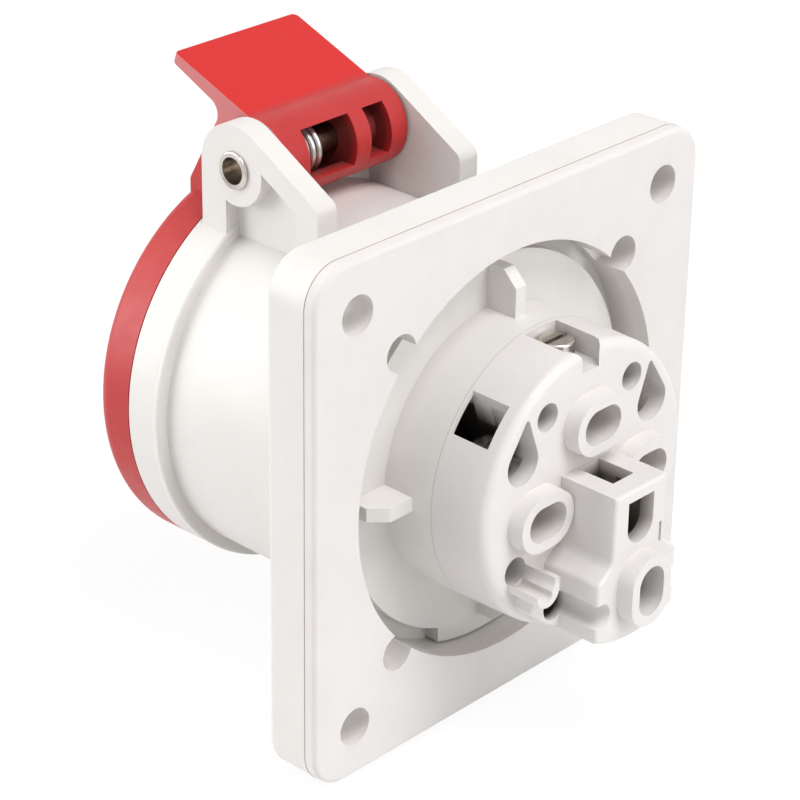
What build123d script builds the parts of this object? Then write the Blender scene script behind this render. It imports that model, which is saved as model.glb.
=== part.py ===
"""Panel socket for round industrial plugs, with a sprung lid, seen and wired from behind.

Millimetres. The origin is the middle of the gasket's rear face, which seats on the panel.
The socket axis is Y: +Y points behind the panel, -Y to the lid. +Z is up, to the hinge.
"""
import os
from math import cos, radians, sin, sqrt, tan

from build123d import *

os.makedirs("parts", exist_ok=True)

# Fits and gaps
running_gap = 0.06
touch_gap = 0.04
seat_gap = 0.1
soft_gap = 0.3
lid_gap = 0.2

# Flange, gasket and the four fixing holes
flange_width = 75.0
flange_thickness = 6.7
flange_corner = 5.5
flange_edge = 0.9
gasket_thickness = 1.9
gasket_edge = 0.7
hole_spacing = 60.0
hole_radius = 2.75

# Opening behind the flange, with four half-round notches
opening_radius = 29.6
opening_floor = 2.0
notch_radius = 2.7
notch_circle_radius = 31.1
notch_depth = 3.2

# Sleeve, collar and keyway in front of the flange
sleeve_radius = 27.5
sleeve_wall = 1.8
collar_radius = 29.24
collar_rear_y = -38.3
collar_front_y = -44.1
collar_step = 1.1
lip_width = 1.7
lip_length = 1.4
keyway_width = 6.4
keyway_depth = 1.0
keyway_rear_y = -14.0

# Hinge line and the two ears
hinge_y = -36.8
hinge_rise = 5.26
ear_inner_x = 12.0
ear_thickness = 3.6
ear_tip_radius = 6.4
ear_slope = 29.5
ear_rear_y = -21.2
ear_rear_corner = 1.6
ear_recess = 2.2
ear_band = 4.6
ear_boss_radius = 5.1
ear_rim = 3.2
ear_rear_rim = 2.2

# Hinge pin, hollow at both ends
pin_radius = 2.3
pin_wall = 0.38
pin_hollow = 3.0
pin_head_radius = 2.68
pin_head_length = 0.45

# Lid cap and seal
lid_front_y = -51.0
lid_edge = 2.5
lid_floor = 2.2
lid_skirt_gap = 0.5
lid_ring_radius = 19.0
lid_ring_width = 2.4
lid_ring_depth = 0.7
seal_width = 2.2
seal_edge = 0.5

# Hinge barrel of the lid, its windows, neck and finger tab
barrel_radius = 6.1
barrel_half_width = 11.6
barrel_relief = 0.5
pocket_radius = 4.2
core_radius = 3.1
window_above = 4.55
window_below = 2.6
window_left_x = 7.3
window_middle_x = -1.7
rib_right_x = -4.5
window_right_x = -8.5
tab_start_angle = 11.3
tab_length = 15.7
tab_rise = 20.8
tab_root = 2.3
tab_tip = 1.6
tab_corner = 0.9
tab_edge = 0.35
heel_y = -43.6
heel_radius = 2.0
neck_lean = 29.3
neck_foot_y = -49.9
neck_back_rise = 0.66

# Torsion spring round the pin
spring_wire = 0.9
spring_radius = 3.15
spring_pitch = 1.13
spring_turns = 8
spring_leg = 1.7
leg_hole_depth = 1.9

# Contact carrier: disc, neck, lugs and the insulated front body
disc_radius = 27.2
disc_thickness = 2.3
neck_radius = 20.24
seam_y = 3.86
lug_thickness = 2.0
lug_radius = 26.6
lug_rear_y = 0.7
lug_chamfer = 2.2
tab_half_width = 9.2
tab_radius = 29.3
front_body_radius = 21.2
front_body_y = -42.0
front_edge = 0.8

# Contact sleeves on their ring, the earth one larger
contact_circle_radius = 15.0
line_angles = (54, -18, 198, 126)
earth_angle = -90
live_bore = 2.5
earth_bore = 3.0
contact_wall = 0.9
contact_front_y = -40.6
contact_rear_y = -8.0
contact_depth = 26.0
slit_width = 0.6
slit_length = 18.0
lip_clearance = 0.3
tail_radius = 1.3
link_thickness = 1.0

# Terminal block behind the seam
block_rear_y = 13.1
block_taper = 0.24
block_edge = 1.3
boss_rear_y = 15.5
boss_wall = 1.5
boss_draft = 4.0
entry_long = 7.2
entry_short = 5.0
plateau_rear_y = 22.4
plateau_half_width = 8.0
plateau_radius = 19.1
plateau_edge = 0.5
bottom_boss_y = 24.9
tower_half_width = 5.2
tower_top_z = 3.1
tower_foot_z = -6.7
tower_foot_round = 1.6
wing_top_z = -8.7
wing_round = 0.9
pad_rear_y = 16.0
pad_outer_x = 13.7
pad_top_z = -9.6
pad_radius = 18.9

# Holes, slots and guides in the terminal block
round_hole_radius = 2.0
round_hole_depth = 6.5
upper_hole = (8.5, 12.8)
lower_hole = (13.9, -7.6)
drop_radius = 2.95
drop_point_radius = 0.4
drop_middle = (13.05, 7.65)
drop_point = (12.4, 13.3)
drop_depth = 6.5
guide_middle = (13.2, -9.0)
guide_outer_radius = 2.15
guide_inner_radius = 0.8
guide_groove_drop = 0.5
guide_rear_y = 18.3
recess_x = 0.3
recess_half_width = 3.1
recess_front_y = 4.5
recess_round_y = 10.5
recess_floor_z = 16.7
tower_slot_width = 4.2
tower_slot_front_y = 13.3
tower_slot_rear_y = 19.2
tower_mouth_half_width = 2.6
tower_mouth_top_z = 1.5
tower_mouth_bottom_z = -5.0
tower_mouth_wall = 2.2
under_slot_length = 5.0
side_window_width = 5.3
side_window_front_y = 4.4
side_window_rear_y = 10.6
side_room_depth = 8.0
side_room_skin = 0.6
mark_x = -4.3
mark_z = -5.2
mark_height = 3.0
mark_width = 0.5
mark_depth = 0.5

# Screws that hold the block, sunk in deep holes with a half-pipe beside each
block_screw_x = 9.2
block_screw_z = -13.5
block_screw_hole = 2.1
block_screw_floor_y = 6.0
block_screw_head = 1.95
block_screw_head_length = 1.6
block_screw_radius = 1.4
block_screw_tip_y = -11.0
half_pipe_radius = 1.85
half_pipe_lean_x = -1.9
cross_slot_length = 2.4
cross_slot_width = 0.7
cross_slot_depth = 0.8

# Screw terminals: a brass clamp round the wire and a screw across it
clamp_half_width = 3.1
clamp_half_length = 2.0
clamp_below = 3.3
clamp_above = 3.6
clamp_edge = 0.5
wire_half_width = 2.1
wire_half_height = 1.7
screw_radius = 1.7
screw_bite = 0.5
head_radius = 2.45
head_length = 1.7
head_edge = 0.3
screw_slot_width = 0.7
screw_slot_depth = 0.9
top_screw_height = 9.7
side_screw_height = 9.8
middle_screw_height = 3.7
bottom_screw_height = 4.6
side_channel_floor = 5.7

# Wire entries: middles on the rear, and where the screw crosses
top_z = 9.5
top_y = 7.1
side_x = 10.4
side_z = -0.8
side_y = 7.35
window_angle = 41.0
middle_z = -3.4
middle_y = 16.25
bottom_z = -11.5
bottom_y = 14.8
knee = (-5.5, 4.5)

# Levels and radii that follow
flange_rear_y = -gasket_thickness
flange_front_y = flange_rear_y - flange_thickness
floor_rear_y = flange_front_y + opening_floor
disc_rear_y = floor_rear_y + disc_thickness
block_rear_radius = neck_radius - block_taper
sleeve_bore = sleeve_radius - sleeve_wall
lip_radius = sleeve_bore + lip_width
hinge_z = collar_radius + hinge_rise
neck_back_z = collar_radius + neck_back_rise
lip_front_y = collar_front_y - lip_length
ear_outer_x = ear_inner_x + ear_thickness
pin_half_length = ear_outer_x + pin_head_length
skirt_bore = lip_radius + lid_skirt_gap
skirt_rear_y = collar_front_y - lid_gap
lid_inner_y = lid_front_y + lid_floor
link_rear_y = seam_y + link_thickness
leg_y = hinge_y - spring_radius


def facing_front(y):
    """Plane across the socket axis at y: local x is X, local y is Z, extruding towards -Y."""
    return Plane.XZ.offset(-y)


def polar(radius, angle):
    """Point across the socket axis at that radius and angle from +X towards +Z."""
    return (radius * cos(radians(angle)), radius * sin(radians(angle)))


def save(builder, name):
    """Label the finished piece and write it under its own name."""
    builder.part.label = name
    export_step(builder.part, f"parts/{name}.step")
    print(name, round(builder.part.volume, 1))


# Housing: flange, sleeve, collar and the two ears of the hinge
back_cos = cos(radians(ear_slope))
back_sin = sin(radians(ear_slope))
back_top_y = hinge_y + ear_tip_radius * back_sin
back_top_z = hinge_z + ear_tip_radius * back_cos
back_end_z = back_top_z - (ear_rear_y - back_top_y) * back_sin / back_cos
ear_foot_z = sqrt(sleeve_bore**2 - ear_outer_x**2) + sleeve_wall / 2
recess_front = hinge_y - ear_tip_radius + ear_band
recess_rear = ear_rear_y - ear_rear_rim
recess_drop = ear_rim / back_cos
recess_front_z = back_top_z - (recess_front - back_top_y) * back_sin / back_cos - recess_drop
recess_rear_z = back_top_z - (recess_rear - back_top_y) * back_sin / back_cos - recess_drop

with BuildPart() as housing:
    with BuildSketch(facing_front(flange_rear_y)):
        RectangleRounded(flange_width, flange_width, flange_corner)
    extrude(amount=flange_thickness)
    fillet(housing.faces().sort_by(Axis.Y)[0].edges(), flange_edge)
    with BuildSketch(Plane.YZ):
        with BuildLine():
            Polyline(
                (floor_rear_y, sleeve_bore),
                (floor_rear_y, sleeve_radius),
                (collar_rear_y, sleeve_radius),
                (collar_rear_y - collar_step, collar_radius),
                (collar_front_y, collar_radius),
                (collar_front_y, lip_radius),
                (lip_front_y, lip_radius),
                (lip_front_y, sleeve_bore),
                close=True,
            )
        make_face()
    revolve(axis=Axis.Y)
    # Each ear has a round tip over the pin, a sloping back and a foot on the sleeve
    with BuildSketch(Plane.YZ.offset(ear_inner_x), Plane.YZ.offset(-ear_outer_x)) as ear_outline:
        with BuildLine():
            Polyline(
                (hinge_y - ear_tip_radius, hinge_z),
                (hinge_y, hinge_z),
                (back_top_y, back_top_z),
                (ear_rear_y, back_end_z),
                (ear_rear_y, ear_foot_z),
                (hinge_y - ear_tip_radius, ear_foot_z),
                close=True,
            )
        make_face()
        rear_top = ear_outline.vertices().group_by(Axis.X)[-1].sort_by(Axis.Y)[-1]
        fillet(rear_top, ear_rear_corner)
        with Locations((hinge_y, hinge_z)):
            Circle(ear_tip_radius)
    extrude(amount=ear_thickness)
    # Shallow recess on the outer side, inside a front band, a boss and a rim
    with BuildSketch(Plane.YZ.offset(ear_outer_x - ear_recess), Plane.YZ.offset(-ear_outer_x)):
        with BuildLine():
            Polyline(
                (recess_front, recess_front_z),
                (recess_rear, recess_rear_z),
                (recess_rear, ear_foot_z),
                (recess_front, ear_foot_z),
                close=True,
            )
        make_face()
        with Locations((hinge_y, hinge_z)):
            Circle(ear_boss_radius, mode=Mode.SUBTRACT)
    extrude(amount=ear_recess, mode=Mode.SUBTRACT)
    with BuildSketch(facing_front(ear_rear_y)):
        Circle(sleeve_radius)
    extrude(amount=ear_rear_y - collar_rear_y)
    # Pin holes, the spring's seat and a relief in the collar for the lid's barrel
    with BuildSketch(Plane.YZ):
        with Locations((hinge_y, hinge_z)):
            Circle(pin_radius)
    extrude(amount=pin_half_length, both=True, mode=Mode.SUBTRACT)
    with BuildSketch(Plane.YZ.offset(ear_inner_x)):
        with Locations((leg_y, hinge_z)):
            Circle(spring_wire / 2 + seat_gap)
    extrude(amount=leg_hole_depth, mode=Mode.SUBTRACT)
    with BuildSketch(Plane.YZ):
        with Locations((hinge_y, hinge_z)):
            Circle(barrel_radius + barrel_relief)
    extrude(amount=ear_inner_x, both=True, mode=Mode.SUBTRACT)
    # Rear opening, notches, bore and keyway
    with BuildSketch(facing_front(flange_rear_y)):
        Circle(opening_radius)
    extrude(amount=flange_rear_y - floor_rear_y, mode=Mode.SUBTRACT)
    with BuildSketch(facing_front(flange_rear_y)):
        with PolarLocations(notch_circle_radius, 4, start_angle=45):
            Circle(notch_radius)
    extrude(amount=notch_depth, mode=Mode.SUBTRACT)
    with BuildSketch(facing_front(floor_rear_y)):
        Circle(sleeve_bore)
    extrude(amount=floor_rear_y - keyway_rear_y, mode=Mode.SUBTRACT)
    with BuildSketch(facing_front(keyway_rear_y)):
        Circle(sleeve_bore)
        with Locations((0, -sleeve_bore)):
            Rectangle(keyway_width, 2 * keyway_depth)
    extrude(amount=keyway_rear_y - lip_front_y, mode=Mode.SUBTRACT)
    with BuildSketch(facing_front(flange_rear_y)):
        with GridLocations(hole_spacing, hole_spacing, 2, 2):
            Circle(hole_radius)
    extrude(amount=flange_thickness, mode=Mode.SUBTRACT)
save(housing, "housing")

# Gasket behind the flange, with a soft rear rim
with BuildPart() as flange_gasket:
    with BuildSketch(facing_front(0)):
        RectangleRounded(flange_width, flange_width, flange_corner)
    extrude(amount=gasket_thickness)
    fillet(flange_gasket.faces().sort_by(Axis.Y)[-1].edges(), gasket_edge)
    with BuildSketch(facing_front(0)):
        Circle(opening_radius)
        with PolarLocations(notch_circle_radius, 4, start_angle=45):
            Circle(notch_radius)
        with GridLocations(hole_spacing, hole_spacing, 2, 2):
            Circle(hole_radius)
    extrude(amount=gasket_thickness, mode=Mode.SUBTRACT)
save(flange_gasket, "flange_gasket")

# Lid in one moulding: cap, neck, hinge barrel and finger tab
tab_root_y = hinge_y - barrel_radius * sin(radians(tab_start_angle))
tab_root_z = hinge_z + barrel_radius * cos(radians(tab_start_angle))
tab_end_y = tab_root_y - tab_length * cos(radians(tab_rise))
tab_end_z = tab_root_z + tab_length * sin(radians(tab_rise))
tab_under_y = tab_end_y - tab_tip * sin(radians(tab_rise))
tab_under_z = tab_end_z - tab_tip * cos(radians(tab_rise))
heel_lift = (tab_root_y - heel_y) * tan(radians(tab_rise))
heel_z = tab_root_z + heel_lift - tab_root / cos(radians(tab_rise))
neck_foot_z = heel_z - (heel_y - neck_foot_y) / tan(radians(neck_lean))
neck_base_z = sqrt(skirt_bore**2 - barrel_half_width**2)

with BuildPart() as lid:
    with BuildSketch(Plane.YZ) as cap_profile:
        with BuildLine():
            Polyline(
                (skirt_rear_y, 0),
                (skirt_rear_y, collar_radius),
                (lid_front_y, collar_radius),
                (lid_front_y, 0),
                close=True,
            )
        make_face()
        fillet(cap_profile.vertices().group_by(Axis.X)[0].sort_by(Axis.Y)[-1], lid_edge)
    revolve(axis=Axis.Y)
    # Barrel, neck and tab share one outline along the hinge
    with BuildSketch(Plane.YZ) as arm_profile:
        with BuildLine():
            Polyline(
                (hinge_y, hinge_z),
                (tab_root_y, tab_root_z),
                (tab_end_y, tab_end_z),
                (tab_under_y, tab_under_z),
                (heel_y, heel_z),
                (neck_foot_y, neck_foot_z),
                (neck_foot_y, neck_base_z),
                (skirt_rear_y, neck_base_z),
                (skirt_rear_y, neck_back_z),
                (hinge_y - barrel_radius * sin(radians(45)), neck_back_z + lid_gap),
                close=True,
            )
        make_face()
        heel = arm_profile.vertices().sort_by_distance((heel_y, heel_z, 0))[0]
        fillet(heel, heel_radius)
        with Locations((hinge_y, hinge_z)):
            Circle(barrel_radius)
    extrude(amount=barrel_half_width, both=True)
    fillet(lid.faces().sort_by(Axis.Y)[0].edges().filter_by(Axis.X, reverse=True), tab_corner)
    fillet(lid.edges().group_by(Axis.Y)[0], tab_edge)
    # Inside of the cap, and a shallow ring on its front
    with BuildSketch(facing_front(skirt_rear_y)):
        Circle(skirt_bore)
    extrude(amount=skirt_rear_y - lid_inner_y, mode=Mode.SUBTRACT)
    with BuildSketch(facing_front(lid_front_y + lid_ring_depth)):
        Circle(lid_ring_radius + lid_ring_width / 2)
        Circle(lid_ring_radius - lid_ring_width / 2, mode=Mode.SUBTRACT)
    extrude(amount=lid_ring_depth, mode=Mode.SUBTRACT)
    # Pin bore, and the wider bore that holds the spring
    with BuildSketch(Plane.YZ):
        with Locations((hinge_y, hinge_z)):
            Circle(pin_radius + running_gap)
    extrude(amount=barrel_half_width, both=True, mode=Mode.SUBTRACT)
    with BuildSketch(Plane.YZ.offset(window_middle_x)):
        with Locations((hinge_y, hinge_z)):
            Circle(pocket_radius)
    extrude(amount=barrel_half_width - window_middle_x, mode=Mode.SUBTRACT)
    with BuildSketch(Plane.YZ.offset(window_middle_x)):
        with Locations((leg_y, hinge_z)):
            Circle(spring_wire / 2 + seat_gap)
    extrude(amount=-leg_hole_depth, mode=Mode.SUBTRACT)
    # Two windows behind: one onto the spring, one onto the core round the pin
    for left_x, right_x in ((window_left_x, window_middle_x), (rib_right_x, window_right_x)):
        with BuildSketch(Plane.YZ.offset(right_x)):
            with Locations((hinge_y + barrel_radius / 2, hinge_z + (window_above - window_below) / 2)):
                Rectangle(barrel_radius, window_above + window_below)
            with Locations((hinge_y, hinge_z)):
                Circle(core_radius, mode=Mode.SUBTRACT)
        extrude(amount=left_x - right_x, mode=Mode.SUBTRACT)
save(lid, "lid")

# Rubber ring in the lid that closes on the sleeve's lip
seal_radius = skirt_bore - touch_gap
with BuildPart() as lid_seal:
    with BuildSketch(facing_front(lip_front_y - soft_gap)):
        Circle(seal_radius)
        Circle(seal_radius - seal_width, mode=Mode.SUBTRACT)
    extrude(amount=lip_front_y - soft_gap - lid_inner_y - touch_gap)
    fillet(lid_seal.faces().sort_by(Axis.Y)[-1].edges(), seal_edge)
save(lid_seal, "lid_seal")

# Hinge pin: rolled rims outside the ears and a blind hollow at each end
with BuildPart() as hinge_pin:
    with BuildSketch(Plane.YZ):
        with Locations((hinge_y, hinge_z)):
            Circle(pin_radius)
    extrude(amount=pin_half_length, both=True)
    with BuildSketch(Plane.YZ.offset(ear_outer_x), Plane.YZ.offset(-pin_half_length)):
        with Locations((hinge_y, hinge_z)):
            Circle(pin_head_radius)
    extrude(amount=pin_head_length)
    rims = hinge_pin.edges().filter_by(GeomType.CIRCLE)
    fillet(rims.group_by(Axis.X)[0] + rims.group_by(Axis.X)[-1], pin_head_length / 2)
    with BuildSketch(Plane.YZ.offset(pin_half_length - pin_hollow), Plane.YZ.offset(-pin_half_length)):
        with Locations((hinge_y, hinge_z)):
            Circle(pin_radius - pin_wall)
    extrude(amount=pin_hollow, mode=Mode.SUBTRACT)
save(hinge_pin, "hinge_pin")

# Spring: a coil round the pin, one leg in the lid and one in an ear
spring_end_x = ear_inner_x - soft_gap - spring_wire / 2
spring_start_x = spring_end_x - spring_pitch * spring_turns
coil_plane = Plane(origin=(spring_start_x, hinge_y, hinge_z), x_dir=(0, -1, 0), z_dir=(1, 0, 0))
coil = coil_plane.location * Helix(spring_pitch, spring_pitch * spring_turns, spring_radius)
with BuildPart() as lid_spring:
    with BuildLine():
        add(coil)
    with BuildSketch(Plane(origin=coil @ 0, z_dir=coil % 0)):
        Circle(spring_wire / 2)
    sweep()
    with BuildSketch(Plane.YZ.offset(spring_end_x)):
        with Locations((leg_y, hinge_z)):
            Circle(spring_wire / 2)
    extrude(amount=spring_leg)
    with BuildSketch(Plane.YZ.offset(window_middle_x - spring_leg)):
        with Locations((leg_y, hinge_z)):
            Circle(spring_wire / 2)
    extrude(amount=spring_start_x - window_middle_x + spring_leg)
save(lid_spring, "lid_spring")

# Terminal layout: each plane lies on its wire, with local x along Y and local z the screw's way out
window_x, window_z = polar(neck_radius, window_angle)
side_way_x = window_x - side_x
side_way_z = window_z - side_z
top_plane = Plane(origin=(0, top_y, top_z), x_dir=(0, 1, 0), z_dir=(0, 0, 1))
left_plane = Plane(origin=(side_x, side_y, side_z), x_dir=(0, 1, 0), z_dir=(side_way_x, 0, side_way_z))
right_plane = Plane(origin=(-side_x, side_y, side_z), x_dir=(0, 1, 0), z_dir=(-side_way_x, 0, side_way_z))
middle_plane = Plane(origin=(0, middle_y, middle_z), x_dir=(0, 1, 0), z_dir=(0, 0, 1))
bottom_plane = Plane(origin=(0, bottom_y, bottom_z), x_dir=(0, 1, 0), z_dir=(0, 0, -1))
terminal_planes = (top_plane, left_plane, right_plane, middle_plane, bottom_plane)
terminal_names = ("top", "left", "right", "middle", "bottom")
headed_heights = (top_screw_height, side_screw_height, side_screw_height)
clamp_length = clamp_below + clamp_above

# Room under each side window: a prism along the screw, kept inside the drum's skin
room_reach = side_window_rear_y - seam_y + side_room_depth
room_shift = side_y - side_window_rear_y + room_reach / 2
with BuildPart() as side_rooms:
    for plane in (left_plane, right_plane):
        with BuildSketch(plane.offset(side_channel_floor)):
            with Locations((-room_shift, 0)):
                Rectangle(room_reach, side_window_width)
        extrude(amount=neck_radius)
    with BuildSketch(facing_front(block_rear_y)):
        Circle(neck_radius - side_room_skin)
    extrude(amount=block_rear_y - seam_y + side_room_depth, mode=Mode.INTERSECT)

# Contact carrier: disc, key tab, neck, four lugs and the front body round the contacts
line_places = [polar(contact_circle_radius, angle) for angle in line_angles]
earth_place = polar(contact_circle_radius, earth_angle)
contact_places = line_places + [earth_place]
contact_bores = [live_bore] * len(line_places) + [earth_bore]

with BuildPart() as contact_carrier:
    with BuildSketch(facing_front(disc_rear_y)):
        with Locations((0, -tab_radius / 2)):
            Rectangle(2 * tab_half_width, tab_radius)
        Circle(tab_radius, mode=Mode.INTERSECT)
        Circle(disc_radius)
    extrude(amount=disc_thickness)
    with BuildSketch(facing_front(seam_y)):
        Circle(neck_radius)
    extrude(amount=seam_y - disc_rear_y)
    with BuildSketch(Plane.YZ.offset(-lug_thickness / 2)):
        with BuildLine():
            Polyline(
                (disc_rear_y, neck_radius - lug_thickness),
                (lug_rear_y, neck_radius - lug_thickness),
                (lug_rear_y, lug_radius - lug_chamfer),
                (lug_rear_y - lug_chamfer, lug_radius),
                (disc_rear_y, lug_radius),
                close=True,
            )
        make_face()
    lug = extrude(amount=lug_thickness)
    for turn in (90, 180, 270):
        add(lug.rotate(Axis.Y, turn))
    with BuildSketch(facing_front(floor_rear_y)):
        Circle(front_body_radius)
    extrude(amount=floor_rear_y - front_body_y)
    chamfer(contact_carrier.faces().sort_by(Axis.Y)[0].edges(), front_edge)
    # A stepped hole for each contact
    for place, bore in zip(contact_places, contact_bores):
        with BuildSketch(facing_front(seam_y)):
            with Locations(place):
                Circle(tail_radius + seat_gap)
        extrude(amount=seam_y - contact_rear_y, mode=Mode.SUBTRACT)
        with BuildSketch(facing_front(contact_rear_y + seat_gap)):
            with Locations(place):
                Circle(bore + contact_wall + touch_gap)
        extrude(amount=contact_rear_y - contact_front_y + 2 * seat_gap, mode=Mode.SUBTRACT)
        with BuildSketch(facing_front(contact_front_y)):
            with Locations(place):
                Circle(bore + lip_clearance)
        extrude(amount=contact_front_y - front_body_y, mode=Mode.SUBTRACT)
    with BuildSketch(facing_front(seam_y)):
        with Locations((block_screw_x, block_screw_z), (-block_screw_x, block_screw_z)):
            Circle(block_screw_radius)
    extrude(amount=seam_y - block_screw_tip_y, mode=Mode.SUBTRACT)
    add(side_rooms.part, mode=Mode.SUBTRACT)
save(contact_carrier, "contact_carrier")

# Links from each contact to its terminal, as runs of points across the socket axis
wire_places = ((0, top_z), (side_x, side_z), (-side_x, side_z), (0, middle_z), (0, bottom_z))
link_runs = [[place, wire] for place, wire in zip(contact_places, wire_places)]
link_runs[3].insert(1, knee)

# Terminal block: drum, plateau with its tower, entry bosses, guides, and all their holes
with BuildPart() as terminal_block:
    with BuildSketch(Plane.YZ) as drum_profile:
        with BuildLine():
            Polyline(
                (seam_y, 0),
                (seam_y, neck_radius),
                (block_rear_y, block_rear_radius),
                (block_rear_y, 0),
                close=True,
            )
        make_face()
        fillet(drum_profile.vertices().group_by(Axis.X)[-1].sort_by(Axis.Y)[-1], block_edge)
    revolve(axis=Axis.Y)
    with BuildSketch(facing_front(plateau_rear_y)) as plateau:
        with BuildLine():
            Polyline(
                (-tower_half_width, tower_top_z),
                (tower_half_width, tower_top_z),
                (tower_half_width, tower_foot_z),
                (plateau_half_width, wing_top_z),
                (plateau_half_width, -plateau_radius),
                (-plateau_half_width, -plateau_radius),
                (-plateau_half_width, wing_top_z),
                (-tower_half_width, tower_foot_z),
                close=True,
            )
        make_face()
        feet = plateau.vertices().filter_by_position(Axis.Y, tower_foot_z - touch_gap, tower_foot_z + touch_gap)
        fillet(feet, tower_foot_round)
        wings = plateau.vertices().filter_by_position(Axis.Y, wing_top_z - touch_gap, wing_top_z + touch_gap)
        fillet(wings, wing_round)
        Circle(plateau_radius, mode=Mode.INTERSECT)
    extrude(amount=plateau_rear_y - block_rear_y + block_edge)
    fillet(terminal_block.faces().sort_by(Axis.Y)[-1].edges(), plateau_edge)
    with BuildSketch(facing_front(boss_rear_y)):
        with Locations((0, top_z), (side_x, side_z), (-side_x, side_z)):
            SlotOverall(entry_long + 2 * boss_wall, entry_short + 2 * boss_wall)
    extrude(amount=boss_rear_y - block_rear_y + block_edge, taper=-boss_draft)
    with BuildSketch(facing_front(bottom_boss_y)):
        with Locations((0, bottom_z)):
            SlotOverall(entry_long + 2 * boss_wall, entry_short + 2 * boss_wall, rotation=90)
    extrude(amount=bottom_boss_y - plateau_rear_y + plateau_edge, taper=-boss_draft)
    # Low pads beside the plateau, round the holes of the block screws
    pad_width = pad_outer_x - plateau_half_width + plateau_edge
    pad_height = plateau_radius + pad_top_z
    pad_x = pad_outer_x - pad_width / 2
    with BuildSketch(facing_front(pad_rear_y)):
        with Locations((pad_x, pad_top_z - pad_height / 2), (-pad_x, pad_top_z - pad_height / 2)):
            Rectangle(pad_width, pad_height)
        Circle(pad_radius, mode=Mode.INTERSECT)
    extrude(amount=pad_rear_y - block_rear_y + block_edge)
    # Guide: a round post, hollowed below by the hole beside it and by a narrow groove
    with BuildSketch(facing_front(guide_rear_y)):
        with Locations(guide_middle):
            Circle(guide_outer_radius)
    extrude(amount=guide_rear_y - block_rear_y + block_edge)
    with BuildSketch(facing_front(guide_rear_y)):
        with Locations((guide_middle[0], guide_middle[1] - guide_groove_drop)):
            Circle(guide_inner_radius)
    extrude(amount=guide_rear_y - block_rear_y, mode=Mode.SUBTRACT)
    for side in (1, -1):
        with BuildSketch(facing_front(guide_rear_y)):
            with Locations((side * lower_hole[0], lower_hole[1])):
                Circle(round_hole_radius)
        extrude(amount=guide_rear_y - block_rear_y + round_hole_depth, mode=Mode.SUBTRACT)
        with BuildSketch(facing_front(block_rear_y)):
            with Locations((side * upper_hole[0], upper_hole[1])):
                Circle(round_hole_radius)
        extrude(amount=round_hole_depth, mode=Mode.SUBTRACT)
        # Drop-shaped hole over the side screw
        with BuildSketch(facing_front(block_rear_y)):
            with Locations((side * drop_middle[0], drop_middle[1])):
                Circle(drop_radius)
            with Locations((side * drop_point[0], drop_point[1])):
                Circle(drop_point_radius)
            make_hull()
        extrude(amount=drop_depth, mode=Mode.SUBTRACT)
        # Deep hole for a block screw, and the half-pipe that leads a driver to it
        with BuildSketch(facing_front(pad_rear_y)):
            with Locations((side * block_screw_x, block_screw_z)):
                Circle(block_screw_hole)
        extrude(amount=pad_rear_y - block_screw_floor_y, mode=Mode.SUBTRACT)
        with BuildSketch(facing_front(block_screw_floor_y)):
            with Locations((side * block_screw_x, block_screw_z)):
                Circle(block_screw_radius + seat_gap)
        extrude(amount=block_screw_floor_y - seam_y, mode=Mode.SUBTRACT)
        pipe_start = (side * block_screw_x, block_rear_y, block_screw_z)
        pipe_way = (side * half_pipe_lean_x, plateau_rear_y - block_rear_y, 0)
        with BuildSketch(Plane(origin=pipe_start, z_dir=pipe_way)):
            Circle(half_pipe_radius)
        extrude(amount=plateau_rear_y, mode=Mode.SUBTRACT)
    # Recess over the top screw, round at its rear end
    with BuildSketch(Plane.XY.offset(neck_radius)):
        with Locations((recess_x, (recess_front_y + recess_round_y) / 2)):
            Rectangle(2 * recess_half_width, recess_round_y - recess_front_y)
        with Locations((recess_x, recess_round_y)):
            Circle(recess_half_width)
    extrude(amount=recess_floor_z - neck_radius, mode=Mode.SUBTRACT)
    # Tower: a slot over its screw and a mouth for its wire
    with BuildSketch(Plane.XY.offset(tower_top_z)):
        with Locations((0, (tower_slot_front_y + tower_slot_rear_y) / 2)):
            Rectangle(tower_slot_width, tower_slot_rear_y - tower_slot_front_y)
    extrude(amount=middle_z + clamp_above - tower_top_z, mode=Mode.SUBTRACT)
    mouth_round_z = tower_mouth_bottom_z + tower_mouth_half_width
    with BuildSketch(facing_front(plateau_rear_y)):
        with Locations((0, (tower_mouth_top_z + mouth_round_z) / 2)):
            Rectangle(2 * tower_mouth_half_width, tower_mouth_top_z - mouth_round_z)
        with Locations((0, mouth_round_z)):
            Circle(tower_mouth_half_width)
    extrude(amount=plateau_rear_y - middle_y, mode=Mode.SUBTRACT)
    with BuildSketch(facing_front(plateau_rear_y - tower_mouth_wall)):
        with Locations((0, (tower_mouth_top_z + middle_z - clamp_below) / 2)):
            Rectangle(2 * clamp_half_width, tower_mouth_top_z - middle_z + clamp_below)
    extrude(amount=plateau_rear_y - tower_mouth_wall - middle_y, mode=Mode.SUBTRACT)
    with BuildSketch(facing_front(plateau_rear_y)):
        with Locations((mark_x, mark_z)):
            Rectangle(mark_width, mark_height)
    extrude(amount=mark_depth, mode=Mode.SUBTRACT)
    # Wire entries through the bosses
    with BuildSketch(facing_front(boss_rear_y)):
        with Locations((0, top_z), (side_x, side_z), (-side_x, side_z)):
            SlotOverall(entry_long, entry_short)
    extrude(amount=boss_rear_y - side_y, mode=Mode.SUBTRACT)
    with BuildSketch(facing_front(bottom_boss_y)):
        with Locations((0, bottom_z)):
            SlotOverall(entry_long, entry_short, rotation=90)
    extrude(amount=bottom_boss_y - bottom_y, mode=Mode.SUBTRACT)
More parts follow.
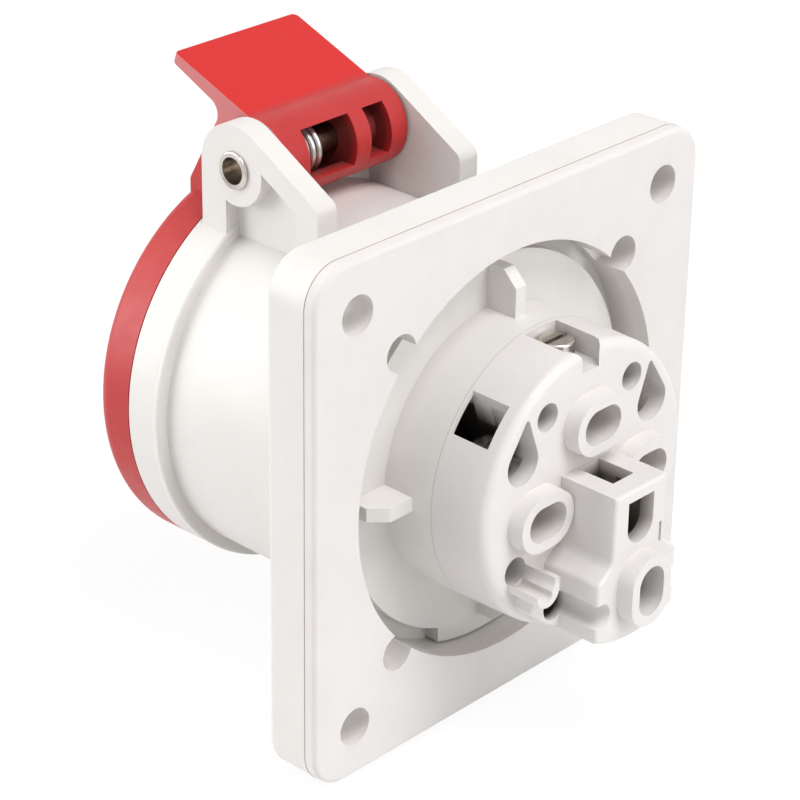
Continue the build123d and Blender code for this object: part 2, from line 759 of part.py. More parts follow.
    # Shafts for the clamps, open to the front, and the ways out for their screws
    for plane in terminal_planes:
        shaft_rear = plane.origin.Y + clamp_half_length + touch_gap
        shaft_length = shaft_rear - seam_y
        to_shaft = shaft_length / 2 - clamp_half_length - touch_gap
        with BuildSketch(plane.offset(-clamp_below - touch_gap)):
            with Locations((-to_shaft, 0)):
                Rectangle(shaft_length, 2 * (clamp_half_width + touch_gap))
        extrude(amount=clamp_length + 2 * touch_gap, mode=Mode.SUBTRACT)
        with BuildSketch(plane.offset(clamp_above)):
            Circle(screw_radius + soft_gap)
        extrude(amount=side_channel_floor - clamp_above, mode=Mode.SUBTRACT)
    with BuildSketch(top_plane.offset(clamp_above)):
        Circle(screw_radius + soft_gap)
    extrude(amount=recess_floor_z - top_z - clamp_above, mode=Mode.SUBTRACT)
    for plane in (left_plane, right_plane):
        with BuildSketch(plane.offset(side_channel_floor)):
            with Locations(((side_window_front_y + side_window_rear_y) / 2 - side_y, 0)):
                Rectangle(side_window_rear_y - side_window_front_y, side_window_width)
        extrude(amount=neck_radius, mode=Mode.SUBTRACT)
    add(side_rooms.part, mode=Mode.SUBTRACT)
    with BuildSketch(bottom_plane.offset(side_channel_floor - head_edge)):
        Rectangle(under_slot_length, tower_slot_width)
    extrude(amount=neck_radius, mode=Mode.SUBTRACT)
    # Channels for the links on the front face
    for run in link_runs:
        for start, end in zip(run[:-1], run[1:]):
            with BuildSketch(facing_front(link_rear_y + seat_gap)):
                with Locations(start, end):
                    Circle(tail_radius + seat_gap)
                make_hull()
            extrude(amount=link_thickness + seat_gap, mode=Mode.SUBTRACT)
save(terminal_block, "terminal_block")

# Contacts: slit sleeve, tail, link and the post that reaches the clamp
contact_names = ("line_1", "line_2", "line_3", "neutral", "earth")
contact_rows = zip(contact_names, contact_places, contact_bores, link_runs, terminal_planes)
for name, place, bore, run, plane in contact_rows:
    with BuildPart() as contact:
        with BuildSketch(facing_front(contact_rear_y)):
            with Locations(place):
                Circle(bore + contact_wall)
        extrude(amount=contact_rear_y - contact_front_y)
        with BuildSketch(facing_front(link_rear_y)):
            with Locations(place):
                Circle(tail_radius)
        extrude(amount=link_rear_y - contact_rear_y)
        for start, end in zip(run[:-1], run[1:]):
            with BuildSketch(facing_front(link_rear_y)):
                with Locations(start, end):
                    Circle(tail_radius)
                make_hull()
            extrude(amount=link_thickness)
        with BuildSketch(facing_front(plane.origin.Y - clamp_half_length - touch_gap)):
            with Locations(run[-1]):
                Circle(tail_radius)
        extrude(amount=plane.origin.Y - clamp_half_length - touch_gap - seam_y)
        with BuildSketch(facing_front(contact_front_y + contact_depth)):
            with Locations(place):
                Circle(bore)
        extrude(amount=contact_depth, mode=Mode.SUBTRACT)
        with BuildSketch(facing_front(contact_front_y + slit_length)):
            with Locations(place):
                Rectangle(slit_width, 4 * bore)
                Rectangle(4 * bore, slit_width)
        extrude(amount=slit_length, mode=Mode.SUBTRACT)
    save(contact, f"contact_{name}")

# Clamps: a brass frame with a wire hole along Y and a threaded hole for the screw
for name, plane in zip(terminal_names, terminal_planes):
    along_wire = Plane(origin=plane.origin, x_dir=plane.y_dir, z_dir=plane.x_dir)
    with BuildPart() as clamp:
        with BuildSketch(plane.offset(-clamp_below)):
            RectangleRounded(2 * clamp_half_length, 2 * clamp_half_width, clamp_edge)
        extrude(amount=clamp_length)
        with BuildSketch(along_wire):
            RectangleRounded(2 * wire_half_width, 2 * wire_half_height, clamp_edge)
        extrude(amount=clamp_half_length, both=True, mode=Mode.SUBTRACT)
        with BuildSketch(plane):
            Circle(screw_radius + running_gap)
        extrude(amount=clamp_above, mode=Mode.SUBTRACT)
    save(clamp, f"clamp_{name}")

# Terminal screws with heads, each with a driver slot
for name, plane, height in zip(terminal_names, terminal_planes, headed_heights):
    with BuildPart() as screw:
        with BuildSketch(plane.offset(wire_half_height - screw_bite)):
            Circle(screw_radius)
        extrude(amount=height - wire_half_height + screw_bite)
        with BuildSketch(plane.offset(height - head_length)):
            Circle(head_radius)
        extrude(amount=head_length)
        fillet(screw.faces().sort_by(Axis(plane.origin, plane.z_dir))[-1].edges(), head_edge)
        with BuildSketch(plane.offset(height)):
            Rectangle(screw_slot_width, 3 * head_radius)
        extrude(amount=-screw_slot_depth, mode=Mode.SUBTRACT)
    save(screw, f"screw_{name}")

# Terminal screws without heads
for name, plane, height in (
    ("middle", middle_plane, middle_screw_height),
    ("bottom", bottom_plane, bottom_screw_height),
):
    with BuildPart() as screw:
        with BuildSketch(plane.offset(wire_half_height - screw_bite)):
            Circle(screw_radius)
        extrude(amount=height - wire_half_height + screw_bite)
        chamfer(screw.faces().sort_by(Axis(plane.origin, plane.z_dir))[-1].edges(), head_edge)
        with BuildSketch(plane.offset(height)):
            Rectangle(screw_slot_width, 3 * screw_radius)
        extrude(amount=-screw_slot_depth, mode=Mode.SUBTRACT)
    save(screw, f"screw_{name}")

# The two screws that hold the block on the carrier
head_rear_y = block_screw_floor_y + block_screw_head_length + touch_gap
with BuildPart() as block_screws:
    with BuildSketch(facing_front(head_rear_y)):
        with Locations((block_screw_x, block_screw_z), (-block_screw_x, block_screw_z)):
            Circle(block_screw_radius)
    extrude(amount=head_rear_y - block_screw_tip_y)
    with BuildSketch(facing_front(head_rear_y)):
        with Locations((block_screw_x, block_screw_z), (-block_screw_x, block_screw_z)):
            Circle(block_screw_head)
    extrude(amount=block_screw_head_length)
    with BuildSketch(facing_front(head_rear_y)):
        with Locations((block_screw_x, block_screw_z), (-block_screw_x, block_screw_z)):
            Rectangle(cross_slot_width, cross_slot_length)
            Rectangle(cross_slot_length, cross_slot_width)
    extrude(amount=cross_slot_depth, mode=Mode.SUBTRACT)
save(block_screws, "block_screws")
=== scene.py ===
import math

import bpy
import numpy as np
from mathutils import Matrix, Vector


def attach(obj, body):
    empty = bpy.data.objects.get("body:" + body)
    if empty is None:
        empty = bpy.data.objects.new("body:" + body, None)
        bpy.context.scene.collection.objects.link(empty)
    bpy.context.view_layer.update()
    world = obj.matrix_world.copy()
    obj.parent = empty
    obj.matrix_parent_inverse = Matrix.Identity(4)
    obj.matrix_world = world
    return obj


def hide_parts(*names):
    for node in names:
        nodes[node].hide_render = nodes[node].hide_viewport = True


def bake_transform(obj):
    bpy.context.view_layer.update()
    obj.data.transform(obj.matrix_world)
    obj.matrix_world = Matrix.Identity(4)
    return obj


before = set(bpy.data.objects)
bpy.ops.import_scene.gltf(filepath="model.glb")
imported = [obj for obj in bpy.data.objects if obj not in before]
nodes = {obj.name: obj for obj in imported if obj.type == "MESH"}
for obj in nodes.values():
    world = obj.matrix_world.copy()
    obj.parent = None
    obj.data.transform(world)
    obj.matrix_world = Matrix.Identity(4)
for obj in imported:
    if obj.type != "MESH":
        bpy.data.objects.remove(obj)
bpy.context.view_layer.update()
print("frame loaded:", len(nodes), "solids")

mm = 0.001
perMetre = 1000.0
acrossX = (0.0, 1.0, 1.0)  # keeps what lies square to a line along X
acrossY = (1.0, 0.0, 1.0)  # keeps what lies square to a line along Y
hingeLine = (0.0, -36.8, 34.5)


# Shader values that can be added and multiplied like numbers
class Signal:
    def __init__(self, tree, socket=None):
        self.tree = tree
        self.socket = socket

    def node(self, kind, settings=None, inputs=None, output=0):
        made = self.tree.nodes.new("ShaderNode" + kind)
        for name, value in (settings or {}).items():
            setattr(made, name, value)
        for name, value in (inputs or {}).items():
            if isinstance(value, Signal):
                self.tree.links.new(value.socket, made.inputs[name])
            else:
                made.inputs[name].default_value = value
        return Signal(self.tree, made.outputs[output] if len(made.outputs) else None)

    def maths(self, operation, first, second=0.0):
        return self.node("Math", {"operation": operation}, {0: first, 1: second})

    def larger(self, other):
        return self.maths("MAXIMUM", self, other)

    def __add__(self, other):
        return self.maths("ADD", self, other)

    def __mul__(self, other):
        return self.maths("MULTIPLY", self, other)


def newMaterial(name):
    material = bpy.data.materials.new(name)
    material.use_nodes = True
    material.node_tree.nodes.clear()
    return material, Signal(material.node_tree)


def objectPlace(start):
    return start.node("TexCoord", output="Object")


def noise(place, size, detail, roughness):  # size is the width of a blob in millimetres
    values = {"Vector": place, "Scale": 1.0 / (size * mm), "Detail": detail, "Roughness": roughness}
    return place.node("TexNoise", None, values, "Fac")


def spread(signal, low, high, first=0.0, last=1.0):  # carries low..high onto first..last, held at both ends
    values = {"Value": signal, "From Min": low, "From Max": high, "To Min": first, "To Max": last}
    return signal.node("MapRange", {"clamp": True}, values)


def blendColour(share, first, second):
    return share.node("Mix", {"data_type": "RGBA"}, {0: share, 6: first, 7: second}, 2)


def bump(height, distance, strength, after=None):
    values = {"Height": height, "Distance": distance * mm, "Strength": strength}
    if after:
        values["Normal"] = after
    return height.node("Bump", None, values)


def finishMaterial(material, start, values):
    shader = start.node("BsdfPrincipled", None, values)
    start.node("OutputMaterial", None, {"Surface": shader})
    return material


def paint(material, *names):
    for name in names:
        slots = nodes[name].data.materials
        slots.clear()
        slots.append(material)


def millimetres(place, axis):
    return place.node("SeparateXYZ", None, {"Vector": place}, axis) * perMetre


def fromLine(place, point, across):  # distance in millimetres from a line through the point, measured across it
    near = place.node("VectorMath", {"operation": "SUBTRACT"}, {0: place, 1: tuple(v * mm for v in point)})
    flat = near.node("VectorMath", {"operation": "MULTIPLY"}, {0: near, 1: across})
    return flat.node("VectorMath", {"operation": "LENGTH"}, {0: flat}, "Value") * perMetre


def fromAxis(place):
    return fromLine(place, (0.0, 0.0, 0.0), acrossY)


# Painted shade in hollows, darker with depth, in millimetres of the part's frame: each pair goes from pale to
# dark
hollowShade = (0.030, 0.026, 0.022, 1.0)
blockShadeHollow = {
    "drumSkin": (18.4, 15.2),
    "drumDepth": (12.4, 6.6),
    "drumDeepest": (7.4, 5.0),
    "drumShare": 0.70,
    "drop": (13.05, 0.0, 7.65),
    "dropSkin": (3.9, 3.2),
    "dropDepth": (10.9, 9.0),
    "screwHole": (9.2, 0.0, -13.5),
    "screwHoleSkin": (2.6, 2.2),
    "screwHoleDepth": (15.9, 14.6),
    "seam": (4.12, 3.86),
    "seamShare": 0.30,
    "towerHalfWidth": (4.4, 3.6),
    "towerTop": (2.9, 1.0),
    "towerRear": (22.2, 19.6),
    "towerFoot": (-18.4, -16.8),
    "towerShare": 0.86,
}
carrierShadeHollow = {"bodySkin": (18.6, 17.6), "bodyFront": (-41.9, -38.0)}
lidShadeHollow = {"barrelSkin": (5.9, 4.6), "barrelShare": 0.62}
pinShadeHollow = {"pinEnds": (15.7, 14.6), "pinMiddle": (11.5, 9.0), "pinShare": 0.42}


def blockShadeHollows(place):
    # painted shade: dark inside the drum by depth behind its rear face, and inside the tower away from its outer
    # walls, with a faint painted shade line where the block meets the carrier
    look = blockShadeHollow
    x, y, z = (millimetres(place, axis) for axis in "XYZ")
    shallow = spread(y, *look["drumDepth"]) * look["drumShare"]
    depth = shallow + spread(y, *look["drumDeepest"]) * (1.0 - look["drumShare"])
    drop = spread(fromLine(place, look["drop"], acrossY), *look["dropSkin"]) * spread(y, *look["dropDepth"])
    inDrum = spread(fromAxis(place), *look["drumSkin"]) * depth.larger(drop)
    fromHole = fromLine(place, look["screwHole"], acrossY)
    inHole = spread(fromHole, *look["screwHoleSkin"]) * spread(y, *look["screwHoleDepth"])
    across = spread(x.maths("ABSOLUTE", x), *look["towerHalfWidth"]) * spread(z, *look["towerTop"])
    inTower = across * spread(y, *look["towerRear"]) * spread(z, *look["towerFoot"]) * look["towerShare"]
    seam = spread(y, *look["seam"]) * look["seamShare"]
    return inDrum.larger(inTower).larger(inHole.larger(seam))


def carrierShadeHollows(place):
    # painted shade: dark inside the front body's holes and the pockets in the neck, pale on the front face
    inBody = spread(fromAxis(place), *carrierShadeHollow["bodySkin"])
    return inBody * spread(millimetres(place, "Y"), *carrierShadeHollow["bodyFront"])


def lidShadeHollows(place):
    # painted shade: dark inside the barrel, by distance from the hinge line
    return spread(fromLine(place, hingeLine, acrossX), *lidShadeHollow["barrelSkin"]) * lidShadeHollow["barrelShare"]


def pinShadeHollows(place):
    # painted shade: dark inside the hollow ends, and darker between the ears
    halfWidth = place.maths("ABSOLUTE", millimetres(place, "X"))
    ends, middle = (spread(halfWidth, *pinShadeHollow[k]) for k in ("pinEnds", "pinMiddle"))
    return (ends + middle) * pinShadeHollow["pinShare"]


# Moulded grey plastic: fine spark texture, faint flow marks, a little uneven tone
greyPlastic = {
    "colour": (0.735, 0.712, 0.688, 1.0),
    "shade": (0.708, 0.684, 0.660, 1.0),
    "grain": 0.22,
    "grainNoise": (2.0, 0.6),
    "grainDepth": 0.010,
    "grainStrength": 0.8,
    "flow": 9.0,
    "flowNoise": (3.0, 0.55),
    "flowShare": 0.7,
    "cloud": 0.21,
    "cloudNoise": (2.0, 0.5),
    "cloudShare": 0.3,
    "cloudDepth": 2.5,
    "cloudStrength": 0.6,
    "colourRange": (0.35, 0.68),
    "roughShare": 0.5,
    "roughRange": (0.3, 0.7),
    "roughness": (0.40, 0.52),
    "refraction": 1.49,
    "shine": 0.5,
}

# The block is moulded in a smoother, slightly whiter grade
blockPlastic = dict(
    greyPlastic,
    colour=(0.735, 0.708, 0.692, 1.0),
    shade=(0.708, 0.680, 0.662, 1.0),
    roughness=(0.34, 0.46),
    flow=6.0,
)

# Red lid plastic: deeper colour, more gloss
redPlastic = dict(
    greyPlastic,
    colour=(0.47, 0.026, 0.026, 1.0),
    shade=(0.43, 0.021, 0.021, 1.0),
    grain=0.30,
    grainDepth=0.008,
    flow=11.0,
    roughness=(0.36, 0.50),
    shine=0.44,
    # painted light: a brighter, purer red on the tab where light falls on it, and a pale pink painted sheen on
    # its +X flank
    tab=(0.56, 0.006, 0.004, 1.0),
    tabRoot=(6.15, 6.8),
    tabFoot=(35.0, 37.0),
    flankSheen=(0.55, 0.20, 0.20, 1.0),
    flankSheenShare=0.8,
    flank=(11.35, 11.55),
    flankFoot=(32.0, 37.0),
)


def lidPaintedLight(place, look):
    # painted light: the tab's faces get a brighter, purer red where light falls on them, and its +X flank a
    # paler, pinkish painted sheen
    height = millimetres(place, "Z")
    onTab = spread(fromLine(place, hingeLine, acrossX), *look["tabRoot"]) * spread(height, *look["tabFoot"])
    onFlank = spread(millimetres(place, "X"), *look["flank"]) * spread(height, *look["flankFoot"])
    return [(onTab, look["tab"]), (onFlank * look["flankSheenShare"], look["flankSheen"])]


def mouldedPlastic(name, look, paintedShade=None, litPatches=None):
    material, start = newMaterial(name)
    place = objectPlace(start)
    flow = noise(place, look["flow"], *look["flowNoise"])
    cloud = noise(place, look["flow"] * look["cloud"], *look["cloudNoise"])
    grain = noise(place, look["grain"], *look["grainNoise"])
    share = spread(flow * look["flowShare"] + cloud * look["cloudShare"], *look["colourRange"])
    colour = blendColour(share, look["colour"], look["shade"])
    # painted light on the lid: brighter red on the tab and a pink painted sheen on its flank
    if litPatches:
        for extent, patch in litPatches(place, look):
            colour = blendColour(extent, colour, patch)
    # painted shade: hollows and recesses blend towards the shade colour
    if paintedShade:
        colour = blendColour(paintedShade(place), colour, hollowShade)
    uneven = grain * look["roughShare"] + cloud * (1.0 - look["roughShare"])
    rough = spread(uneven, *look["roughRange"], *look["roughness"])
    soft = bump(cloud, look["grainDepth"] * look["cloudDepth"], look["cloudStrength"])
    normal = bump(grain, look["grainDepth"], look["grainStrength"], soft)
    return finishMaterial(material, start, {
        "Base Color": colour,
        "Roughness": rough,
        "Normal": normal,
        "IOR": look["refraction"],
        "Specular IOR Level": look["shine"],
    })


paint(mouldedPlastic("greyMoulding", greyPlastic), "housing")
paint(mouldedPlastic("carrierMoulding", greyPlastic, carrierShadeHollows), "contact_carrier")
paint(mouldedPlastic("blockMoulding", blockPlastic, blockShadeHollows), "terminal_block")
paint(mouldedPlastic("redMoulding", redPlastic, lidShadeHollows, lidPaintedLight), "lid")
print("plastics done")

# Soft gasket: closed-cell rubber with fine pores and an uneven tone
gasketFoam = {
    "colour": (0.720, 0.692, 0.676, 1.0),
    "pore": (0.665, 0.637, 0.620, 1.0),
    "poreSize": 0.30,
    "poreRange": (0.05, 0.35),
    "poreShare": 0.35,
    "patch": 7.0,
    "patchNoise": (3.0, 0.5),
    "patchShare": 0.65,
    "colourRange": (0.25, 0.75),
    "roughRange": (0.3, 0.7),
    "roughness": (0.78, 0.92),
    "cellRange": (0.0, 0.5),
    "depth": 0.012,
    "strength": 0.5,
}
sealRubber = dict(
    gasketFoam,
    colour=(0.035, 0.035, 0.036, 1.0),
    pore=(0.06, 0.06, 0.06, 1.0),
    poreSize=0.6,
    depth=0.015,
)


def foamRubber(name, look):
    material, start = newMaterial(name)
    place = objectPlace(start)
    values = {"Vector": place, "Scale": 1.0 / (look["poreSize"] * mm)}
    cells = place.node("TexVoronoi", {"feature": "F1"}, values)
    patch = noise(place, look["patch"], *look["patchNoise"])
    pores = spread(cells, *look["poreRange"], 1.0, 0.0)
    share = spread(pores * look["poreShare"] + patch * look["patchShare"], *look["colourRange"])
    return finishMaterial(material, start, {
        "Base Color": blendColour(share, look["colour"], look["pore"]),
        "Roughness": spread(patch, *look["roughRange"], *look["roughness"]),
        "Normal": bump(spread(cells, *look["cellRange"]), look["depth"], look["strength"]),
    })


paint(foamRubber("gasketFoam", gasketFoam), "flange_gasket")
paint(foamRubber("sealRubber", sealRubber), "lid_seal")

# Metals: plated steel, drawn wire and turned brass
nickelPlate = {
    "colour": (0.66, 0.62, 0.57, 1.0),
    "worn": (0.40, 0.37, 0.34, 1.0),
    # painted shade colour for the pin's hollow ends and the part between the ears
    "deep": (0.16, 0.11, 0.07, 1.0),
    "size": 0.5,
    "stain": 6.0,
    "stainNoise": (3.0, 0.6),
    "stainRange": (0.4, 0.75),
    "stainShare": 0.4,
    "grain": 0.3,
    "grainNoise": (2.0, 0.6),
    "grainShare": 0.6,
    "roughRange": (0.3, 0.7),
    "roughness": (0.16, 0.30),
    "depth": 0.004,
    "strength": 0.5,
}
springSteel = dict(
    nickelPlate,
    colour=(0.72, 0.71, 0.69, 1.0),
    worn=(0.50, 0.49, 0.48, 1.0),
    roughness=(0.28, 0.42),
    size=0.3,
)
turnedBrass = dict(
    nickelPlate,
    colour=(0.80, 0.60, 0.31, 1.0),
    worn=(0.60, 0.43, 0.21, 1.0),
    roughness=(0.26, 0.42),
)


def bareMetal(name, look, paintedShade=None):
    material, start = newMaterial(name)
    place = objectPlace(start)
    stain = noise(place, look["size"] * look["stain"], *look["stainNoise"])
    grain = noise(place, look["size"] * look["grain"], *look["grainNoise"])
    colour = blendColour(spread(stain, *look["stainRange"]), look["colour"], look["worn"])
    # painted shade: the pin's hollows blend towards the shade tint
    if paintedShade:
        colour = blendColour(paintedShade(place), colour, look["deep"])
    uneven = grain * look["grainShare"] + stain * look["stainShare"]
    return finishMaterial(material, start, {
        "Base Color": colour,
        "Metallic": 1.0,
        "Roughness": spread(uneven, *look["roughRange"], *look["roughness"]),
        "Normal": bump(grain, look["depth"], look["strength"]),
    })


terminals = ("top", "left", "right", "middle", "bottom")
screws = ["screw_" + terminal for terminal in terminals]
clamps = ["clamp_" + terminal for terminal in terminals]
contacts = ["contact_" + use for use in ("line_1", "line_2", "line_3", "neutral", "earth")]
springFinish = bareMetal("springSteel", springSteel)
paint(bareMetal("nickelPlate", nickelPlate), "block_screws", *screws)
paint(bareMetal("pinPlate", nickelPlate, pinShadeHollows), "hinge_pin")
paint(springFinish, "lid_spring")
paint(bareMetal("turnedBrass", turnedBrass), *contacts, *clamps)
print("gasket, seal and metals done")


def addSurface(name, points, closedAlong, material):
    # points is a grid (along, across, 3) in millimetres; across always closes on itself
    rows, columns = points.shape[:2]
    mesh = bpy.data.meshes.new(name)
    index = np.arange(rows * columns).reshape(rows, columns)
    here = index if closedAlong else index[:-1]
    ahead = np.roll(index, -1, 0) if closedAlong else index[1:]
    corners = [here, np.roll(here, -1, 1), np.roll(ahead, -1, 1), ahead]
    faces = np.stack(corners, -1).reshape(-1, len(corners)).tolist()
    if not closedAlong:
        faces += [index[0, ::-1].tolist(), index[-1].tolist()]
    mesh.from_pydata((points * mm).reshape(-1, 3).tolist(), [], faces)
    mesh.polygons.foreach_set("use_smooth", [len(face) == len(corners) for face in faces])
    mesh.update()
    piece = bpy.data.objects.new(name, mesh)
    bpy.context.scene.collection.objects.link(piece)
    mesh.materials.append(material)
    return piece


# Collar edge: a round-edged ring that closes the collar's rear down to the sleeve
collarEdge = {
    "front": -39.42,
    "rear": -38.3,
    "outer": 29.24,
    "inner": 27.42,
    "under": 27.1,
    "round": 0.42,
    "support": 0.03,
    "bendSteps": 7,
    "steps": 320,
}


def collarSurface(look):
    # the profile (distance from the axis, Y) is turned once about the Y axis; support rows keep its flats flat
    front, rear, outer, under = (look[k] for k in ("front", "rear", "outer", "under"))
    corner, hold = look["round"], look["support"]
    turn = np.linspace(0.0, math.pi / 2, look["bendSteps"])
    start = [(under, front), (outer - corner, front), (outer - hold, front), (outer, front + hold)]
    bend = np.stack([outer - corner + corner * np.cos(turn), rear - corner + corner * np.sin(turn)], -1)
    end = [(outer - corner - hold, rear), (look["inner"], rear), (under, rear - hold)]
    radius, y = np.concatenate([start, bend, end]).T
    angle = np.linspace(0.0, 2 * math.pi, look["steps"], endpoint=False)[:, None]
    x, z = radius * np.cos(angle), radius * np.sin(angle)
    return np.stack([x, np.broadcast_to(y, x.shape), z], -1)


housingFinish = nodes["housing"].data.materials[0]
collar = addSurface("collarEdge", collarSurface(collarEdge), True, housingFinish)
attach(collar, "base")

# Torsion spring: the same wire as the solid's, wound between its two legs
torsionSpring = {
    "coilRadius": 3.15,
    "wireRadius": 0.45,
    "bend": 0.6,
    "turns": 8,
    "innerEnd": -3.4,
    "coilStart": 2.21,
    "coilEnd": 11.25,
    "outerEnd": 12.95,
    "innerSteps": 6,
    "bendSteps": 7,
    "turnSteps": 36,
    "outerSteps": 4,
    "around": 12,
}


def springSurface(look):
    # the wire's path on the coil's cylinder, as X and arc length: leg, quarter bend, helix, quarter bend, leg
    start, end, bend, coilRadius = (look[k] for k in ("coilStart", "coilEnd", "bend", "coilRadius"))
    length = 2 * math.pi * coilRadius * look["turns"]
    turn = np.linspace(0.0, math.pi / 2, look["bendSteps"])[1:-1]
    helix = np.linspace(0.0, 1.0, look["turns"] * look["turnSteps"])
    x = np.concatenate([
        np.linspace(look["innerEnd"], start - bend, look["innerSteps"]),
        start - bend + bend * np.sin(turn),
        start + (end - start) * helix,
        end + bend * (1 - np.cos(turn)),
        np.linspace(end + bend, look["outerEnd"], look["outerSteps"]),
    ])
    along = np.concatenate([
        np.zeros(look["innerSteps"]),
        bend * (1 - np.cos(turn)),
        bend + (length - 2 * bend) * helix,
        length - bend + bend * np.sin(turn),
        np.full(look["outerSteps"], length),
    ])
    angle = along / coilRadius
    out = np.stack([np.zeros_like(angle), -np.cos(angle), -np.sin(angle)], -1)
    hinge = [np.full_like(x, v) for v in hingeLine[1:]]
    middle = np.stack([x, *hinge], -1) + coilRadius * out
    # a circle of the wire's radius round the path, square to its direction
    ahead = np.gradient(middle, axis=0)
    ahead /= np.linalg.norm(ahead, axis=1, keepdims=True)
    side = np.cross(ahead, out)
    side /= np.linalg.norm(side, axis=1, keepdims=True)
    rise = np.cross(side, ahead)
    ring = np.linspace(0.0, 2 * math.pi, look["around"], endpoint=False)[None, :, None]
    circle = np.cos(ring) * rise[:, None] + np.sin(ring) * side[:, None]
    return middle[:, None] + look["wireRadius"] * circle


spring = addSurface("torsionSpring", springSurface(torsionSpring), False, springFinish)
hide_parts("lid_spring")
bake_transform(spring)

# Glue line: the thin brownish seam that shows between gasket and flange, all round the square
glueLine = {
    "halfWidth": 37.5,
    "corner": 5.5,
    "y": -1.9,
    "radius": 0.085,
    "sink": 0.035,
    "steps": 24,
    "around": 12,
}
glueFinish = dict(
    gasketFoam,
    colour=(0.42, 0.33, 0.26, 1.0),
    pore=(0.30, 0.23, 0.18, 1.0),
    poreSize=0.5,
    depth=0.01,
)


def roundedSquare(halfWidth, corner, steps):
    # four quarter circles of radius corner about the square's inner corners, joined by the straight sides;
    # each row is X, Z and the outward direction there
    turn = np.linspace(0.0, math.pi / 2, steps)
    middle = (halfWidth - corner) * math.sqrt(2.0)
    quarters = []
    for k in range(4):
        angle = turn + k * math.pi / 2
        diagonal = math.pi / 4 + k * math.pi / 2
        x = middle * math.cos(diagonal) + corner * np.cos(angle)
        z = middle * math.sin(diagonal) + corner * np.sin(angle)
        quarters.append(np.stack([x, z, np.cos(angle), np.sin(angle)], -1))
    return np.concatenate(quarters)


def glueSurface(look):
    # a round bead of the given radius carried along the rounded square, its middle sunk a little under the side
    outline = roundedSquare(look["halfWidth"], look["corner"], look["steps"])
    around = np.linspace(0.0, 2 * math.pi, look["around"], endpoint=False)
    out = (look["radius"] * np.cos(around) - look["sink"])[None, :]
    x = outline[:, 0:1] + outline[:, 2:3] * out
    z = outline[:, 1:2] + outline[:, 3:4] * out
    y = np.broadcast_to(look["y"] + look["radius"] * np.sin(around)[None, :], x.shape)
    return np.stack([x, y, z], -1)


glue = addSurface("glueLine", glueSurface(glueLine), True, foamRubber("glueLine", glueFinish))
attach(glue, "base")
print("new pieces done")

# Camera: the photograph's viewing angle in degrees, as fitted to the part's own edges; focal and frame in pixels
view = {
    "azimuth": 132.864,
    "elevation": 26.711,
    "roll": 0.842,
    "distance": 336.536,
    "target": (36.07, 12.905, 25.151),
    "focal": 2820.408,
    "frame": 800,
    "sensor": 36.0,
    "clip": (0.01, 20.0),
}


def placeCamera(look):
    azimuth, elevation, roll = (math.radians(look[k]) for k in ("azimuth", "elevation", "roll"))
    reach = math.cos(elevation)
    back = Vector((math.sin(azimuth) * reach, -math.cos(azimuth) * reach, math.sin(elevation)))
    level = Vector((math.cos(azimuth), math.sin(azimuth), 0.0))
    rise = back.cross(level)
    right = level * math.cos(roll) + rise * math.sin(roll)
    up = rise * math.cos(roll) - level * math.sin(roll)
    data = bpy.data.cameras.new("camera")
    data.sensor_width = look["sensor"]
    data.lens = look["focal"] / look["frame"] * look["sensor"]
    data.clip_start, data.clip_end = look["clip"]
    camera = bpy.data.objects.new("camera", data)
    bpy.context.scene.collection.objects.link(camera)
    turn = Matrix((right, up, back)).transposed().to_4x4()
    spot = (Vector(look["target"]) + back * look["distance"]) * mm
    camera.matrix_world = Matrix.Translation(spot) @ turn
    bpy.context.scene.camera = camera


placeCamera(view)

# Studio: pale floor, white surround for the camera, even grey for the rest of the light
studio = {
    "floorSize": 6.0,
    "floorHeight": -38.5,
    "floorColour": (0.86, 0.86, 0.86, 1.0),
    "white": (1.0, 1.0, 1.0, 1.0),
    "shadowShare": 0.13,
    "glow": 1.05,
    "fill": 0.35,
}


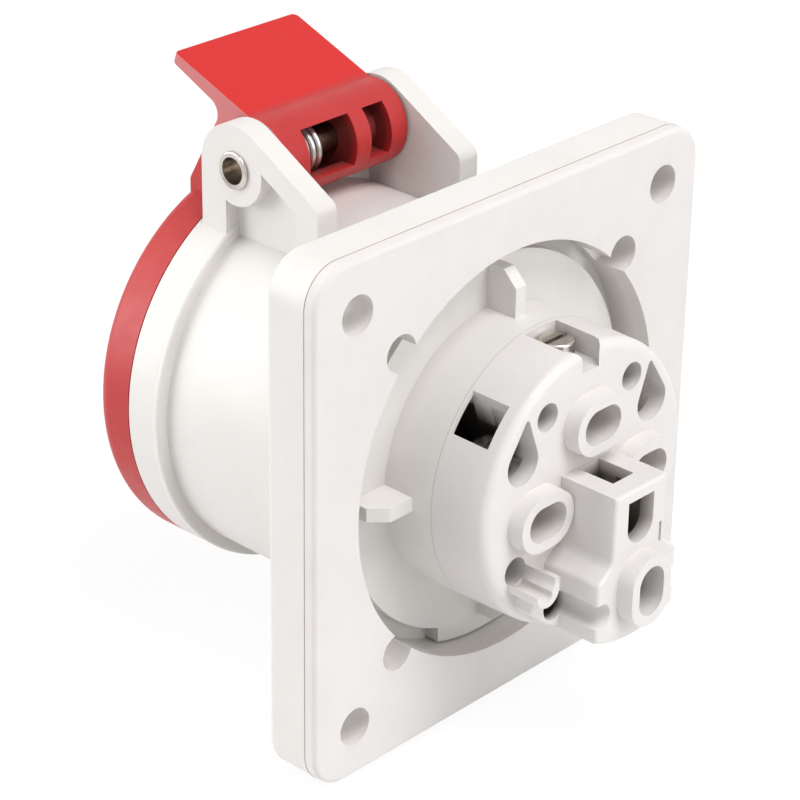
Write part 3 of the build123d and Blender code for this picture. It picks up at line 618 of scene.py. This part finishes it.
def seenPlainly(start):
    # 1 for rays from the camera, from mirrors and through glass, otherwise 0
    seen, mirrored, through = (
        start.node("LightPath", output=kind) for kind in ("Is Camera Ray", "Is Glossy Ray", "Is Transmission Ray")
    )
    return seen.larger(mirrored.larger(through))


def paleFloor(look):
    half = look["floorSize"] / 2
    mesh = bpy.data.meshes.new("floor")
    z = look["floorHeight"] * mm
    mesh.from_pydata([(-half, -half, z), (half, -half, z), (half, half, z), (-half, half, z)], [], [(0, 1, 2, 3)])
    floor = bpy.data.objects.new("floor", mesh)
    bpy.context.scene.collection.objects.link(floor)
    material, start = newMaterial("paleFloor")
    matt = start.node("BsdfDiffuse", None, {"Color": look["floorColour"]})
    white = start.node("Emission", None, {"Color": look["white"], "Strength": look["glow"]})
    share = seenPlainly(start) * (1.0 - look["shadowShare"])
    mixed = start.node("MixShader", None, {0: share, 1: matt, 2: white})
    start.node("OutputMaterial", None, {"Surface": mixed})
    mesh.materials.append(material)


def paleWorld(look):
    world = bpy.data.worlds.new("surround")
    bpy.context.scene.world = world
    world.use_nodes = True
    world.node_tree.nodes.clear()
    start = Signal(world.node_tree)
    strength = spread(seenPlainly(start), 0.0, 1.0, look["fill"], 1.0)
    surround = start.node("Background", None, {"Color": look["white"], "Strength": strength})
    start.node("OutputWorld", None, {"Surface": surround})


# Square lamps that face the part's middle: place in metres, side in metres, power in watts
lamps = {
    "topLamp": ((0.04, 0.40, 0.95), 0.5, 7.2),
    "rearLamp": ((-0.25, 1.0, 0.40), 0.6, 4.2),
    "leftLamp": ((0.74, -0.80, 0.06), 0.8, 9.8),
    "frontLamp": ((0.50, -0.60, 0.70), 0.6, 2.4),
}


def softLamp(name, place, side, power):
    data = bpy.data.lights.new(name, "AREA")
    data.shape = "SQUARE"
    data.size = side
    data.energy = power
    lamp = bpy.data.objects.new(name, data)
    bpy.context.scene.collection.objects.link(lamp)
    spot = Vector(place)
    turn = spot.normalized().to_track_quat("Z", "Y").to_matrix().to_4x4()
    lamp.matrix_world = Matrix.Translation(spot) @ turn


paleFloor(studio)
paleWorld(studio)
for lampName, (spot, side, power) in lamps.items():
    softLamp(lampName, spot, side, power)
bpy.context.scene.view_settings.view_transform = "Standard"
print("camera, floor and lamps done")
